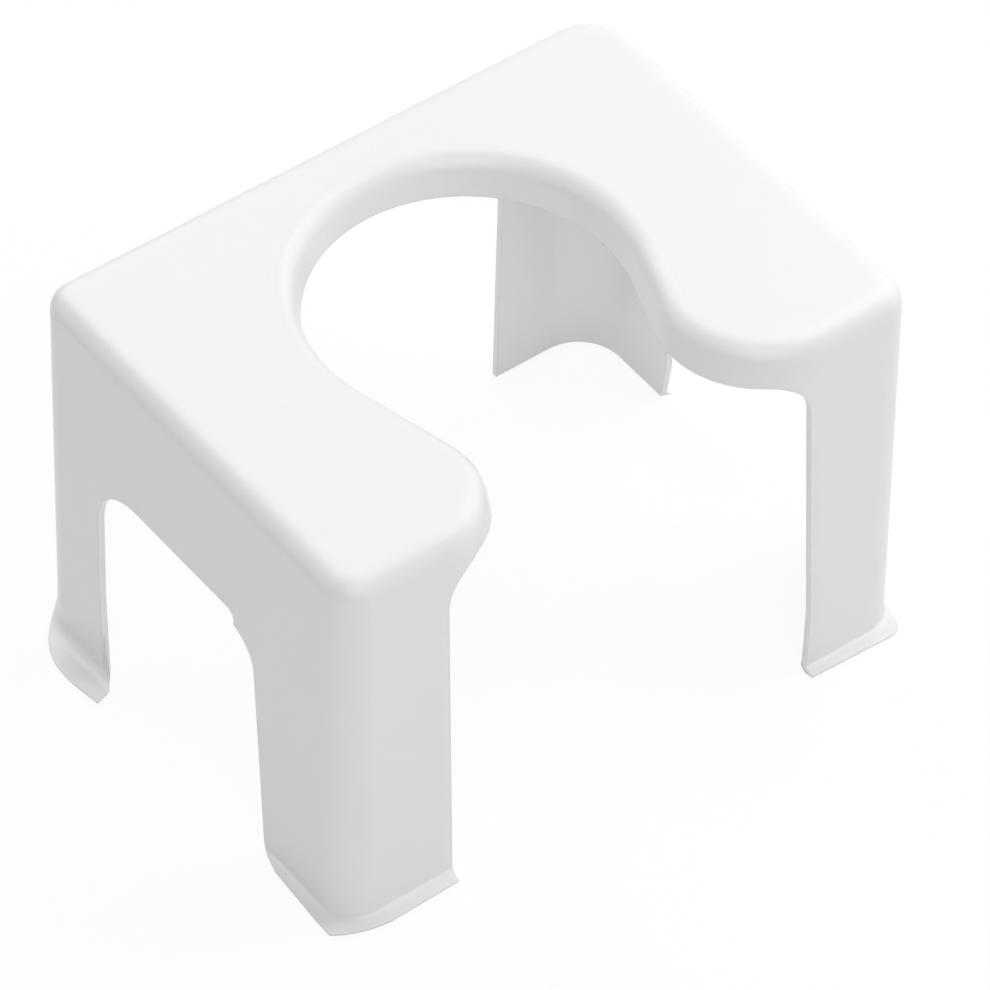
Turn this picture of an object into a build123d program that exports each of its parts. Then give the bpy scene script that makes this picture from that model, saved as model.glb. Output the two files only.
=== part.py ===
"""Toilet footstool formed from one sheet of gloss plastic, on four thin rubber foot pads.

Millimetres. +X is to the right, +Y to the rear and +Z up. The origin is on the floor, under the
middle of the top. The cut-out for the bowl opens to the front, at -Y.
"""
import os
from math import cos, radians, sin, tan

from build123d import *

# Driving dimensions
top_width = 355.0
top_depth = 261.0
stool_height = 247.0
sheet = 4.0
pad_thickness = 1.5
draft = 0.75
top_round = 11.5
overrun = 40.0

# Cut-out for the bowl, in plan on the top face: a round end, a narrowing neck and a flared mouth.
# Its wall leans in towards the hole as it goes down, and is trimmed to leave the lip.
bowl_radius = 89.5
rear_rim = 36.5
neck_angle_left = 14.5
neck_angle_right = 19.5
mouth_round = {"left": 44.0, "right": 53.0}
mouth_limit_share = 0.7
lip_draft = 10.0
lip_blank_depth = 60.0
lip_depth_left = 19.5
lip_depth_right = 25.0
lip_clearance = 18.0

# Round of each vertical corner of the body
corner_round = {"front_left": 16.0, "front_right": 15.5, "rear_left": 15.5, "rear_right": 28.0}

# Legs, as trimmed: widths run along the front or the rear and depths along the side, all from the
# edges of the top. The front right leg has a waist and an ankle, and the rear legs' edges a bend.
leg_width_top = {"front_left": 63.0, "front_right": 65.9, "rear_left": 32.5, "rear_right": 63.5}
leg_width_floor = {"front_left": 65.5, "front_right": 61.5, "rear_left": 32.5, "rear_right": 63.5}
waist_width = 57.7
waist_height = 47.0
ankle_width = 58.6
ankle_height = 10.0
leg_depth_top = {"front_left": 76.6, "front_right": 76.6, "rear_left": 49.5, "rear_right": 69.0}
leg_depth_floor = {"front_left": 65.1, "front_right": 65.1, "rear_left": 52.2, "rear_right": 64.0}
bend_height = {"left": 60.0, "right": 34.0}

# Openings between the legs. Each side opening is trimmed in two passes, which meet in a small
# step behind the front leg.
front_gap_round = {"left": 28.0, "right": 26.0}
rear_gap_height = 186.0
rear_gap_round = 30.0
side_gap_height = 155.5
side_gap_fall = 2.5
side_gap_rear_round = {"left": 35.0, "right": 24.0}
step_behind_leg = 15.5
step_round = 6.0
second_pass_drop = 8.0
second_pass_round = 23.0

# Feet: the sheet turns outwards by a flare and is trimmed by plan outlines to a narrow flange on
# the floor. Reaches are measured outwards from the walls at the floor. Each outer corner is cut
# off along the side and along the end, with a round at both ends of that cut. At the side opening
# the outline goes from the wall at a start, by a knee, to a tip, each at a reach from the wall and
# a setback from the leg's edge, and gains the full reach in a run. Along the end wall the flange
# starts at the leg's inner edge with a slant outwards, and is narrower there by the inner drop.
flare_round = {"front_left": 4.0, "front_right": 4.5, "rear_left": 9.0, "rear_right": 2.2}
side_reach = {"front_left": 7.6, "front_right": -1.0, "rear_left": 16.4, "rear_right": 16.4}
end_reach = {"front_left": 9.8, "front_right": 9.4, "rear_left": 9.6, "rear_right": 9.6}
cut_along_side = {"front_left": 11.4, "front_right": 16.0, "rear_left": 33.0, "rear_right": 30.0}
cut_along_end = {"front_left": 16.3, "front_right": 4.0, "rear_left": 33.0, "rear_right": 30.0}
side_cut_round = {"front_left": 1.0, "front_right": 30.0, "rear_left": 42.0, "rear_right": 42.0}
end_cut_round = {"front_left": 58.0, "front_right": 9.0, "rear_left": 8.0, "rear_right": 8.0}
start_reach = {"front_left": 0.0, "front_right": -4.0, "rear_left": -4.0, "rear_right": -4.0}
knee_reach = {"front_left": 2.3, "front_right": -2.5, "rear_left": 4.5, "rear_right": 0.1}
knee_setback = {"front_left": 5.4, "front_right": 1.0, "rear_left": -10.4, "rear_right": -1.2}
tip_reach = {"front_left": 5.4, "front_right": -1.5, "rear_left": 13.5, "rear_right": 1.4}
tip_setback = {"front_left": 16.3, "front_right": 4.0, "rear_left": -13.3, "rear_right": -1.7}
tip_run = {"front_left": 40.0, "front_right": 12.0, "rear_left": 20.0, "rear_right": 30.0}
inner_slant = {"front_left": 2.4, "front_right": 1.2, "rear_left": 8.0, "rear_right": 12.0}
inner_drop = {"front_left": 1.4, "front_right": 2.4, "rear_left": 0.0, "rear_right": 0.0}
toe_rise = 30.0
foot_block_inset = 28.0

# Pads: strips cut from thin rubber, stuck under the flat of the flanges
pad_inset = 1.6

# Sizes that follow
shell_height = stool_height - pad_thickness
wall_spread = shell_height * tan(radians(draft))
foot_half_width = top_width / 2 + wall_spread
foot_half_depth = top_depth / 2 + wall_spread
bowl_centre_y = top_depth / 2 - rear_rim - bowl_radius
neck_turn = {"left": radians(neck_angle_left), "right": radians(neck_angle_right)}
lip_squeeze = (1 - sin(radians(lip_draft))) / cos(radians(lip_draft))
wall_squeeze = (1 - sin(radians(draft))) / cos(radians(draft))
flange_top = pad_thickness + sheet
touching = sheet / 40
foot_names = list(corner_round)


def rounded(shape, points, radius):
    """Rounds those corners of a plan or profile that lie at the points."""
    places = [Vector(*point) for point in points]
    corners = [v for v in shape.vertices() if any((Vector(v) - p).length < sheet / 4 for p in places)]
    return fillet(corners, radius)


def quarter(name):
    """Which side, and which end, a foot stands at: each is -1 or 1."""
    return (1 if "right" in name else -1), (1 if "rear" in name else -1)


def plate_outline():
    """The top's plan before the cut-out, with its own radius at each corner."""
    outline = Rectangle(top_width, top_depth)
    for name in foot_names:
        side, end = quarter(name)
        corner = (side * top_width / 2, end * top_depth / 2)
        outline = rounded(outline, [corner], corner_round[name])
    return outline


def bowl_outline():
    """The cut-out's plan at the top: a round end whose tangents narrow to the open front."""
    beyond_y = -top_depth / 2 - overrun
    near = []
    far = []
    for hand, side in (("left", -1), ("right", 1)):
        angle = neck_turn[hand]
        tangent_x = bowl_radius * cos(angle)
        tangent_y = bowl_centre_y - bowl_radius * sin(angle)
        beyond_x = tangent_x - (tangent_y - beyond_y) * tan(angle)
        near.append((side * tangent_x, tangent_y))
        far.append((side * beyond_x, beyond_y))
    neck = Polygon((0, bowl_centre_y), near[0], far[0], far[1], near[1], align=None)
    return Pos(0, bowl_centre_y) * Circle(bowl_radius) + neck


def mouth_radius(hand):
    """The mouth's rounding, which can take only a share of the neck's straight side."""
    angle = neck_turn[hand]
    straight = (top_depth / 2 + bowl_centre_y - bowl_radius * sin(angle)) / cos(angle)
    return min(mouth_round[hand], mouth_limit_share * straight)


def leg_inner(name, width):
    """How far from the middle a leg of this width ends along the front or rear."""
    return top_width / 2 - width[name]


def leg_edge(name, depth):
    """How far from the middle a leg of this depth ends along the side."""
    return top_depth / 2 - depth[name]


def foot_block(name, top_z):
    """A block on the floor round one foot, for the flange to be trimmed from."""
    side, end = quarter(name)
    inner_x = leg_inner(name, leg_width_floor) - foot_block_inset
    inner_y = leg_edge(name, leg_depth_floor) - foot_block_inset
    outer_x = foot_half_width + overrun
    outer_y = foot_half_depth + overrun
    block = Box(outer_x - inner_x, outer_y - inner_y, overrun)
    x = side * (inner_x + outer_x) / 2
    y = end * (inner_y + outer_y) / 2
    return Pos(x, y, top_z - overrun / 2) * block


def flared(body, name, inset):
    """Adds one foot's block and rounds the sheet's turn from the walls out onto it."""
    side, end = quarter(name)
    flange_z = flange_top - inset
    body += foot_block(name, flange_z)
    near_x = leg_inner(name, leg_width_floor) - foot_block_inset + touching
    near_y = leg_edge(name, leg_depth_floor) - foot_block_inset + touching
    far_x = foot_half_width + touching
    far_y = foot_half_depth + touching
    level = body.edges().filter_by_position(Axis.Z, flange_z - touching, flange_z + touching)
    root = [
        edge for edge in level
        if near_x < edge.center().X * side < far_x
        and near_y < edge.center().Y * end < far_y
    ]
    return fillet(root, flare_round[name] + inset)


def formed_face(inset):
    """The solid under one face of the formed sheet: its outer face, or its inner one at an inset."""
    plate = plate_outline()
    bowl = bowl_outline()
    if inset:
        plate = offset(plate, -inset * wall_squeeze)
        bowl = offset(bowl, inset * lip_squeeze)
    top_z = stool_height - inset
    body = extrude(plate, amount=-shell_height - overrun, taper=-draft)
    body -= extrude(bowl, amount=-lip_blank_depth, taper=lip_draft)
    body = Pos(0, 0, top_z) * body
    for hand, side in (("left", -1), ("right", 1)):
        corner = [
            edge for edge in body.edges()
            if lip_blank_depth / 2 < edge.length < shell_height / 2
            and 0 < side * edge.center().X < bowl_radius
            and edge.center().Y < 2 * sheet - top_depth / 2
            and edge.bounding_box().size.Z > lip_blank_depth / 2
        ]
        body = fillet(corner, mouth_radius(hand) - inset)
    rim = body.edges().filter_by_position(Axis.Z, top_z - touching, top_z + touching)
    body = fillet(rim, top_round - inset)
    for name in foot_names:
        body = flared(body, name, inset)
    return body


def front_gap():
    """The gap under the lip between the front legs, which also trims the lip to its depth."""
    left_corner = (-leg_inner("front_left", leg_width_top), stool_height - lip_depth_left)
    right_corner = (leg_inner("front_right", leg_width_top), stool_height - lip_depth_right)
    left_floor = -leg_inner("front_left", leg_width_floor)
    right_floor = leg_inner("front_right", leg_width_floor)
    profile = Polygon(
        left_corner,
        (left_floor, 0),
        (left_floor, -overrun),
        (right_floor, -overrun),
        (right_floor, 0),
        (top_width / 2 - ankle_width, ankle_height),
        (top_width / 2 - waist_width, waist_height),
        right_corner,
        align=None,
    )
    profile = rounded(profile, [left_corner], front_gap_round["left"])
    profile = rounded(profile, [right_corner], front_gap_round["right"])
    front_y = -foot_half_depth - overrun
    rear_y = bowl_centre_y + bowl_radius + lip_clearance
    return Plane.XZ.offset(-front_y) * extrude(profile, amount=front_y - rear_y)


def rear_gap():
    """The opening in the rear wall."""
    left_x = -leg_inner("rear_left", leg_width_top)
    right_x = leg_inner("rear_right", leg_width_top)
    top_corners = [(left_x, rear_gap_height), (right_x, rear_gap_height)]
    profile = Polygon((left_x, -overrun), (right_x, -overrun), top_corners[1], top_corners[0], align=None)
    profile = rounded(profile, top_corners, rear_gap_round)
    front_y = bowl_centre_y + bowl_radius + lip_clearance
    rear_y = foot_half_depth + overrun
    return Plane.XZ.offset(-front_y) * extrude(profile, amount=front_y - rear_y)


def side_gap(hand):
    """The opening in one side wall, whose two trimming passes leave a step by the front leg."""
    front = f"front_{hand}"
    rear = f"rear_{hand}"
    rear_edge = leg_edge(rear, leg_depth_top)
    step_y = step_behind_leg - leg_edge(front, leg_depth_top)
    rear_corner = (rear_edge, side_gap_height - side_gap_fall)
    step_corner = (step_y, side_gap_height)
    first = Polygon(
        (step_y, 0),
        (leg_edge(rear, leg_depth_floor), 0),
        (rear_edge, bend_height[hand]),
        rear_corner,
        step_corner,
        align=None,
    )
    first = rounded(first, [rear_corner], side_gap_rear_round[hand])
    first = rounded(first, [step_corner], step_round)
    second_corner = (-leg_edge(front, leg_depth_top), side_gap_height - second_pass_drop)
    second = Polygon(
        (-leg_edge(front, leg_depth_floor), 0),
        (0, 0),
        (0, side_gap_height - second_pass_drop),
        second_corner,
        align=None,
    )
    second = rounded(second, [second_corner], second_pass_round)
    inner_x = foot_half_width - overrun
    gap = Plane.YZ.offset(inner_x) * extrude(first + second, amount=2 * overrun)
    return gap if hand == "right" else mirror(gap, about=Plane.YZ)


def foot_outline(name, inset=0.0):
    """The plan one foot is trimmed to, as if at the right rear, or that plan drawn inwards."""
    outer_x = foot_half_width + side_reach[name]
    outer_y = foot_half_depth + end_reach[name]
    inner_x = leg_inner(name, leg_width_floor)
    edge_y = leg_edge(name, leg_depth_floor)
    tip_y = edge_y + tip_setback[name]
    side_corner = (outer_x, outer_y - cut_along_side[name])
    end_corner = (outer_x - cut_along_end[name], outer_y)
    outline = Polygon(
        (inner_x - sheet, edge_y),
        (foot_half_width + start_reach[name], edge_y),
        (foot_half_width + knee_reach[name], edge_y + knee_setback[name]),
        (foot_half_width + tip_reach[name], tip_y),
        (outer_x, tip_y + tip_run[name]),
        side_corner,
        end_corner,
        (inner_x + inner_slant[name], outer_y - inner_drop[name]),
        (inner_x, foot_half_depth),
        (inner_x - sheet, foot_half_depth - sheet),
        align=None,
    )
    outline = rounded(outline, [side_corner], side_cut_round[name])
    outline = rounded(outline, [end_corner], end_cut_round[name])
    if inset:
        outline = offset(outline, -inset)
    return outline


def foot_zone(name):
    """The height below which a foot's outline trims it: where its flare has become the wall."""
    return flange_top + flare_round[name]


def toe(name):
    """Sheet kept above the flare where a flange runs past its leg's edge, so the edge eases out."""
    edge_y = leg_edge(name, leg_depth_floor)
    knee = (foot_half_width + knee_reach[name], edge_y + knee_setback[name])
    base = Polygon((foot_half_width - sheet, edge_y), (knee[0], edge_y), knee, align=None)
    base = Pos(0, 0, foot_zone(name)) * base
    return loft([base.face(), Vertex(foot_half_width, edge_y, foot_zone(name) + toe_rise)])


def in_place(name, solid):
    """Moves a solid from the right rear quarter to the foot's own by mirroring."""
    side, end = quarter(name)
    if side < 0:
        solid = mirror(solid, about=Plane.YZ)
    if end < 0:
        solid = mirror(solid, about=Plane.XZ)
    return solid


def moulded_shell():
    """The one formed sheet: top, turned-down lip, four legs and their flanges."""
    skin = formed_face(0) - formed_face(sheet)
    skin -= front_gap()
    skin -= rear_gap()
    side_gaps = side_gap("left") + side_gap("right")
    wide = foot_half_width + 2 * overrun
    deep = foot_half_depth + 2 * overrun
    for name in foot_names:
        kept = extrude(foot_outline(name), amount=foot_zone(name))
        quarter_block = Pos(wide / 2, deep / 2, foot_zone(name) / 2) * Box(wide, deep, foot_zone(name))
        skin -= in_place(name, quarter_block - kept)
        if knee_setback[name] < 0:
            kept += toe(name)
        side_gaps -= in_place(name, kept)
    skin -= side_gaps
    skin -= Pos(0, 0, pad_thickness - overrun) * Box(2 * wide, 2 * deep, 2 * overrun)
    return skin


def foot_pad(name):
    """A rubber strip under the flat of one foot's flange, set in a little from its edges."""
    flare = flare_round[name]
    curved = Rectangle(2 * (foot_half_width + flare), 2 * (foot_half_depth + flare))
    curved = fillet(curved.vertices(), corner_round[name] + wall_spread + flare)
    strip = foot_outline(name, pad_inset) - curved
    return in_place(name, extrude(strip, amount=pad_thickness))


if __name__ == "__main__":
    os.makedirs("parts", exist_ok=True)
    export_step(moulded_shell(), "parts/moulded_shell.step")
    for name in foot_names:
        export_step(foot_pad(name), f"parts/{name}_foot_pad.step")
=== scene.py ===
import math

import bpy
from mathutils import Matrix, Vector


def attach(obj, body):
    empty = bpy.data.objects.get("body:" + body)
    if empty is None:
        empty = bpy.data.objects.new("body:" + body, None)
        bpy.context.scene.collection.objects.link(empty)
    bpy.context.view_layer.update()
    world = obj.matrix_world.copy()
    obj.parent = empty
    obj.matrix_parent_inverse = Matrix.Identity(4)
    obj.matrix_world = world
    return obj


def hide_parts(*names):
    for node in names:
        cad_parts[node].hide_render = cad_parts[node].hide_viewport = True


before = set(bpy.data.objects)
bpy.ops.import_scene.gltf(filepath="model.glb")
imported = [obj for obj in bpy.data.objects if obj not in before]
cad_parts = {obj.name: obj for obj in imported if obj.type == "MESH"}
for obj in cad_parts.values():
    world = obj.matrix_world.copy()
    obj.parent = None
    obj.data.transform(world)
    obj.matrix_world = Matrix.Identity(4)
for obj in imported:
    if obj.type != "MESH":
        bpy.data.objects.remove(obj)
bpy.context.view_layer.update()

MM = 0.001
WHITE = (1.0, 1.0, 1.0, 1.0)

# Camera at the photograph's view, in degrees and in widths of the stool's top
TOP_WIDTH = 355 * MM
AZIMUTH = -37.7015
ELEVATION = 47.3074
ROLL = 1.1232
DISTANCE_WIDTHS = 10.5388
RIGHT_WIDTHS = 0.032
UP_WIDTHS = 0.0446
TARGET_WIDTHS = 0.2
FOCAL_PX = 7203.09
IMAGE_PX = 990.0
SENSOR_MM = 36.0
CLIP_END = 20.0


def link(obj):
    bpy.context.scene.collection.objects.link(obj)
    return obj


def direction(azimuth, elevation):
    """Way from the stool to a camera or lamp, by degrees from the front towards the right and upwards."""
    side = math.radians(azimuth)
    height = math.radians(elevation)
    return Vector((
        math.sin(side) * math.cos(height),
        -math.cos(side) * math.cos(height),
        math.sin(height),
    ))


def make_camera():
    """Camera with the roll and focal length fitted to the photograph."""
    back = direction(AZIMUTH, ELEVATION)
    roll = math.radians(ROLL)
    level_right = Vector((0, 0, 1)).cross(back).normalized()
    level_up = back.cross(level_right)
    right = level_right * math.cos(roll) + level_up * math.sin(roll)
    up = level_up * math.cos(roll) - level_right * math.sin(roll)
    place = Vector((0, 0, TARGET_WIDTHS)) + right * RIGHT_WIDTHS + up * UP_WIDTHS + back * DISTANCE_WIDTHS
    data = bpy.data.cameras.new("camera")
    data.lens = FOCAL_PX / IMAGE_PX * SENSOR_MM
    data.sensor_width = SENSOR_MM
    data.clip_end = CLIP_END
    camera = link(bpy.data.objects.new("camera", data))
    turn = Matrix((right, up, back)).transposed().to_4x4()
    camera.matrix_world = Matrix.Translation(place * TOP_WIDTH) @ turn
    bpy.context.scene.camera = camera


class Nodes:
    """A material's node tree, with short calls to add and join nodes."""

    def __init__(self, name):
        self.material = bpy.data.materials.new(name)
        self.material.use_nodes = True
        self.tree = self.material.node_tree
        self.shader = self.tree.nodes["Principled BSDF"]
        self.surface = self.tree.nodes["Material Output"].inputs["Surface"]

    def fill(self, socket, value):
        """Give an input a number, a colour or the output of another node."""
        if isinstance(value, bpy.types.NodeSocket):
            self.tree.links.new(value, socket)
        else:
            socket.default_value = value

    def feed(self, node, **inputs):
        for name, value in inputs.items():
            self.fill(node.inputs[name.replace("_", " ")], value)

    def add(self, kind, **inputs):
        node = self.tree.nodes.new(kind)
        self.feed(node, **inputs)
        return node

    def noise(self, place, setting):
        return self.add("ShaderNodeTexNoise", Vector=place, **setting).outputs["Fac"]

    def bump(self, height, setting, **inputs):
        return self.add("ShaderNodeBump", Height=height, **setting, **inputs).outputs["Normal"]

    def spread(self, value, span, target=(0.0, 1.0)):
        """Map a span of a value to a target span, and hold it within that."""
        from_low, from_high = span
        to_low, to_high = target
        node = self.add("ShaderNodeMapRange", Value=value, From_Min=from_low, From_Max=from_high,
                        To_Min=to_low, To_Max=to_high)
        return node.outputs["Result"]

    def calculate(self, operation, first, second):
        node = self.tree.nodes.new("ShaderNodeMath")
        node.operation = operation
        for socket, value in zip(node.inputs, (first, second)):
            self.fill(socket, value)
        return node.outputs["Value"]

    def blend(self, share, first, second):
        """Colour between two others, by the share of the second."""
        node = self.add("ShaderNodeMix", Factor=share)
        node.data_type = "RGBA"
        colour_inputs = [socket for socket in node.inputs if socket.type == "RGBA"]
        for socket, colour in zip(colour_inputs, (first, second)):
            socket.default_value = (*colour, 1.0)
        return [socket for socket in node.outputs if socket.type == "RGBA"][0]

    def mix(self, share, first, second):
        """Shader between two others, by the share of the second."""
        node = self.tree.nodes.new("ShaderNodeMixShader")
        for socket, value in zip(node.inputs, (share, first, second)):
            self.fill(socket, value)
        return node.outputs["Shader"]


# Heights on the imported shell's legs: the flange's underside and top, the top of the flare over it, and
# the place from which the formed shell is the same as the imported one
FLANGE_UNDER = 1.5 * MM
FLANGE_TOP = 5.5 * MM
FLARE_TOP = 14.5 * MM
LEG_REACH = 70 * MM

# Where the flange's top and the top of each foot's flare lie on the formed shell, with the foot named by
# its sides along X and Y
THIN_FLANGE_TOP = 2.3 * MM
LOW_FLARE_TOPS = {(-1, -1): 6.0 * MM, (1, -1): 7.0 * MM, (-1, 1): 7.7 * MM, (1, 1): 8.7 * MM}

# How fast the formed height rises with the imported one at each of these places
UNDER_RATE = 0.2
FLANGE_RATE = 0.3
FLARE_RATE = 0.8
FULL_RATE = 1.0


def formed_height(height, low_flare_top):
    """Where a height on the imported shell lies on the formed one, by a cubic between stops, and its rate."""
    stops = (
        (FLANGE_UNDER, FLANGE_UNDER, UNDER_RATE),
        (FLANGE_TOP, THIN_FLANGE_TOP, FLANGE_RATE),
        (FLARE_TOP, low_flare_top, FLARE_RATE),
        (LEG_REACH, LEG_REACH, FULL_RATE),
    )
    for (low, low_to, low_rate), (high, high_to, high_rate) in zip(stops, stops[1:]):
        if low < height <= high:
            span = high - low
            rise = high_to - low_to
            share = (height - low) / span
            rest = 1 - share
            start = low_rate * span - rise
            end = rise - high_rate * span
            curve = start * rest + end * share
            formed = low_to + share * rise + share * rest * curve
            slope = rise + (1 - 2 * share) * curve + share * rest * (end - start)
            return formed, slope / span
    return height, FULL_RATE


def make_formed_shell(node):
    """The shell with the feet's flanges drawn thin and low, as a formed sheet has them."""
    mesh = node.data.copy()
    mesh.name = "formed_shell"
    normals = [corner.vector.copy() for corner in mesh.corner_normals]
    rates = []
    for vertex in mesh.vertices:
        x, y, z = vertex.co
        foot = (1 if x > 0 else -1, 1 if y > 0 else -1)
        height, rate = formed_height(z, LOW_FLARE_TOPS[foot])
        vertex.co.z = height
        rates.append(rate)
    # The normals turn with the changed heights, so that the faces stay smooth
    for corner, normal in zip(mesh.loops, normals):
        normal.z /= rates[corner.vertex_index]
        normal.normalize()
    mesh.normals_split_custom_set([tuple(normal) for normal in normals])
    shell = link(bpy.data.objects.new("formed_shell", mesh))
    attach(shell, "root")
    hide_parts("moulded_shell")
    return shell


# Gloss white plastic: two near tones, and noises that repeat so many times in a metre
SHELL_TINT = (0.93, 0.931, 0.936)
SHELL_DULL = (0.915, 0.915, 0.918)
CLOUD = {"Scale": 9.0, "Detail": 3.0, "Roughness": 0.55}
WAVE = {"Scale": 14.0, "Detail": 1.0, "Roughness": 0.4}
GRAIN = {"Scale": 900.0, "Detail": 2.0, "Roughness": 0.5}

# Hairline scuffs: a noise turned in radians and stretched along one way, shown where both it and the
# clouds are strong
HAIRS = {"Scale": 1.0, "Detail": 4.0, "Roughness": 0.7}
HAIR_TURN = (0.0, 0.0, 0.6)
HAIR_SCALES = (6.0, 260.0, 40.0)
HAIR_SPAN = (0.66, 0.78)
SCUFF_PATCH_SPAN = (0.48, 0.66)

# Spans of the noises, and the dull share and roughness that they are spread over
CLOUD_SPAN = (0.3, 0.75)
CLOUD_DULL_SHARE = (0.0, 0.3)
GRAIN_SPAN = (0.3, 0.7)
GRAIN_DULL_SHARE = (0.0, 0.7)
GLOSS_ROUGHNESS = (0.28, 0.31)
SCUFF_ROUGHNESS = 0.06

# Gloss, glow under the surface, relief and rounded trims
PLASTIC_IOR = 1.49
GLOW_SHARE = 0.1
GLOW_REACH = (1.0, 1.0, 1.0)
GLOW_DEPTH = 4 * MM
WAVE_BUMP = {"Strength": 0.35, "Distance": 0.6 * MM}
GRAIN_BUMP = {"Strength": 0.12, "Distance": 0.05 * MM}
EDGE_ROUND = 1 * MM
EDGE_SAMPLES = 6


def plastic_material():
    """White formed sheet: gloss, a fine grain, faint clouds and waves, light scuffs and rounded trims."""
    nodes = Nodes("gloss_plastic_white")
    place = nodes.add("ShaderNodeTexCoord").outputs["Object"]
    cloud = nodes.noise(place, CLOUD)
    wave = nodes.noise(place, WAVE)
    grain = nodes.noise(place, GRAIN)
    stretch = nodes.add("ShaderNodeMapping", Vector=place, Rotation=HAIR_TURN, Scale=HAIR_SCALES)
    hairs = nodes.noise(stretch.outputs["Vector"], HAIRS)
    hairs = nodes.spread(hairs, HAIR_SPAN)
    scuff = nodes.calculate("MULTIPLY", hairs, nodes.spread(cloud, SCUFF_PATCH_SPAN))
    clouded = nodes.spread(cloud, CLOUD_SPAN, CLOUD_DULL_SHARE)
    speckled = nodes.spread(grain, GRAIN_SPAN, GRAIN_DULL_SHARE)
    colour = nodes.blend(nodes.calculate("ADD", clouded, speckled), SHELL_TINT, SHELL_DULL)
    gloss = nodes.spread(grain, GRAIN_SPAN, GLOSS_ROUGHNESS)
    gloss = nodes.calculate("ADD", gloss, nodes.calculate("MULTIPLY", scuff, SCUFF_ROUGHNESS))
    edge = nodes.add("ShaderNodeBevel", Radius=EDGE_ROUND)
    edge.samples = EDGE_SAMPLES
    waved = nodes.bump(wave, WAVE_BUMP, Normal=edge.outputs["Normal"])
    nodes.feed(
        nodes.shader,
        Base_Color=colour,
        Roughness=gloss,
        IOR=PLASTIC_IOR,
        Subsurface_Weight=GLOW_SHARE,
        Subsurface_Radius=GLOW_REACH,
        Subsurface_Scale=GLOW_DEPTH,
        Normal=nodes.bump(grain, GRAIN_BUMP, Normal=waved),
    )
    return nodes.material


# Pale grey rubber
RUBBER_DARK = (0.5, 0.5, 0.51)
RUBBER_LIGHT = (0.6, 0.6, 0.61)
RUBBER_ROUGHNESS = 0.8
MOTTLE = {"Scale": 300.0, "Detail": 3.0, "Roughness": 0.6}
MOTTLE_BUMP = {"Strength": 0.3, "Distance": 0.1 * MM}


def rubber_material():
    """Pale grey rubber, matt and slightly mottled."""
    nodes = Nodes("rubber_pale_grey")
    mottle = nodes.noise(nodes.add("ShaderNodeTexCoord").outputs["Object"], MOTTLE)
    nodes.feed(
        nodes.shader,
        Base_Color=nodes.blend(mottle, RUBBER_DARK, RUBBER_LIGHT),
        Roughness=RUBBER_ROUGHNESS,
        Normal=nodes.bump(mottle, MOTTLE_BUMP),
    )
    return nodes.material


# Floor: metres from its middle to a side, how far it lies below the stool, its finish, the strength of its
# white, and the share of its own shade in what the camera sees
FLOOR_HALF = 6.0
FLOOR_GAP = 0.2 * MM
FLOOR_COLOUR = (0.95, 0.95, 0.95, 1.0)
FLOOR_ROUGHNESS = 0.9
FLOOR_WHITE_STRENGTH = 1.02
FLOOR_SHADE_SHARE = 0.12


def seen_rays(tree):
    """1 for a ray from the camera, straight, by a mirror or through glass, and 0 for any other."""
    light = tree.nodes.new("ShaderNodeLightPath")
    total = light.outputs["Is Camera Ray"]
    for name in ("Is Glossy Ray", "Is Transmission Ray"):
        larger = tree.nodes.new("ShaderNodeMath")
        larger.operation = "MAXIMUM"
        tree.links.new(total, larger.inputs[0])
        tree.links.new(light.outputs[name], larger.inputs[1])
        total = larger.outputs["Value"]
    return total


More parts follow.
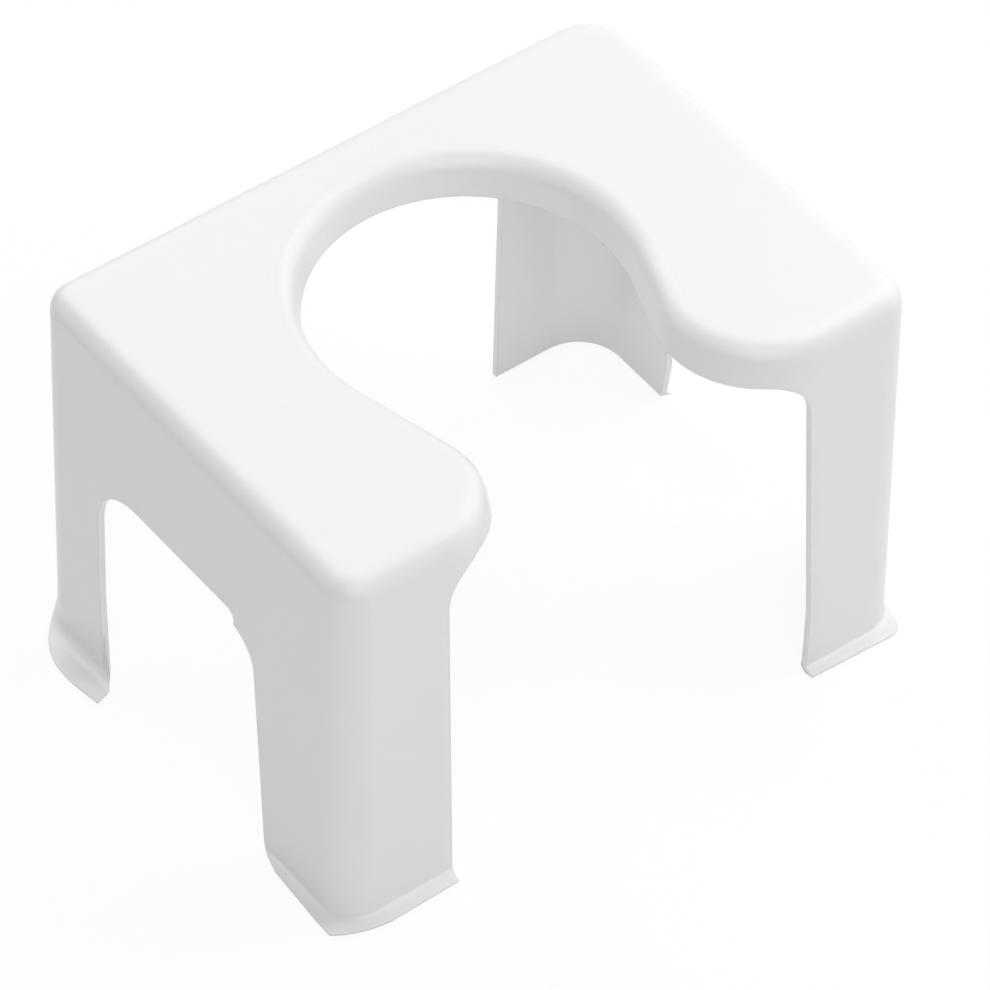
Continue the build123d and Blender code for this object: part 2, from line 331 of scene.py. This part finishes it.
def make_floor():
    """Pale floor that keeps the stool's shadow, and shows nearly white."""
    mesh = bpy.data.meshes.new("floor")
    sides = ((-1, -1), (1, -1), (1, 1), (-1, 1))
    corners = [(x * FLOOR_HALF, y * FLOOR_HALF, 0) for x, y in sides]
    mesh.from_pydata(corners, [], [(0, 1, 2, 3)])
    floor = link(bpy.data.objects.new("floor", mesh))
    floor.location.z = -FLOOR_GAP
    nodes = Nodes("floor_pale")
    nodes.feed(nodes.shader, Base_Color=FLOOR_COLOUR, Roughness=FLOOR_ROUGHNESS, Specular_IOR_Level=0.0)
    shaded = nodes.shader.outputs["BSDF"]
    white = nodes.add("ShaderNodeEmission", Strength=FLOOR_WHITE_STRENGTH).outputs["Emission"]
    shown = nodes.mix(FLOOR_SHADE_SHARE, white, shaded)
    nodes.fill(nodes.surface, nodes.mix(seen_rays(nodes.tree), shaded, shown))
    mesh.materials.append(nodes.material)


def make_world():
    """World that is white to rays that the camera sees, and gives no other light."""
    world = bpy.data.worlds.new("studio")
    bpy.context.scene.world = world
    world.use_nodes = True
    background = world.node_tree.nodes["Background"]
    background.inputs["Color"].default_value = WHITE
    world.node_tree.links.new(seen_rays(world.node_tree), background.inputs["Strength"])


# Square softboxes that face a point in the stool, with distances and sizes in metres
LAMP_TARGET = Vector((0, 0, 100 * MM))
FAR = 2.4
NEAR = 1.1
WIDE = 2.0

# Each lamp's azimuth and elevation in degrees, watts, distance and size
LAMPS = {
    "left_low_light": (-120, 8, 8.0, FAR, WIDE),
    "front_light": (-30, 40, 26.0, FAR, WIDE),
    "right_light": (90, 40, 15.0, FAR, WIDE),
    "back_light": (180, 40, 25.0, FAR, WIDE),
    "top_light": (90, 68, 13.0, FAR, WIDE),
    "near_right_light": (60, 30, 1.6, NEAR, 0.8),
    "near_rear_light": (120, 8, 1.3, NEAR, 1.2),
    "small_light": (54, 60, 3.0, FAR, 0.35),
}


def make_lamp(name, azimuth, elevation, power, distance, size):
    """Softbox in its place, turned to its target."""
    data = bpy.data.lights.new(name, "AREA")
    data.size = size
    data.energy = power
    lamp = link(bpy.data.objects.new(name, data))
    way = direction(azimuth, elevation)
    lamp.location = LAMP_TARGET + way * distance
    lamp.rotation_mode = "QUATERNION"
    lamp.rotation_quaternion = way.to_track_quat("Z", "Y")


make_camera()
plastic = plastic_material()
rubber = rubber_material()
formed_shell = make_formed_shell(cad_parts["moulded_shell"])
for piece in (formed_shell, *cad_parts.values()):
    piece.data.materials.clear()
    piece.data.materials.append(rubber if piece.name.endswith("pad") else plastic)
make_floor()
make_world()
for lamp_name, setting in LAMPS.items():
    make_lamp(lamp_name, *setting)

bpy.context.scene.view_settings.view_transform = "Standard"
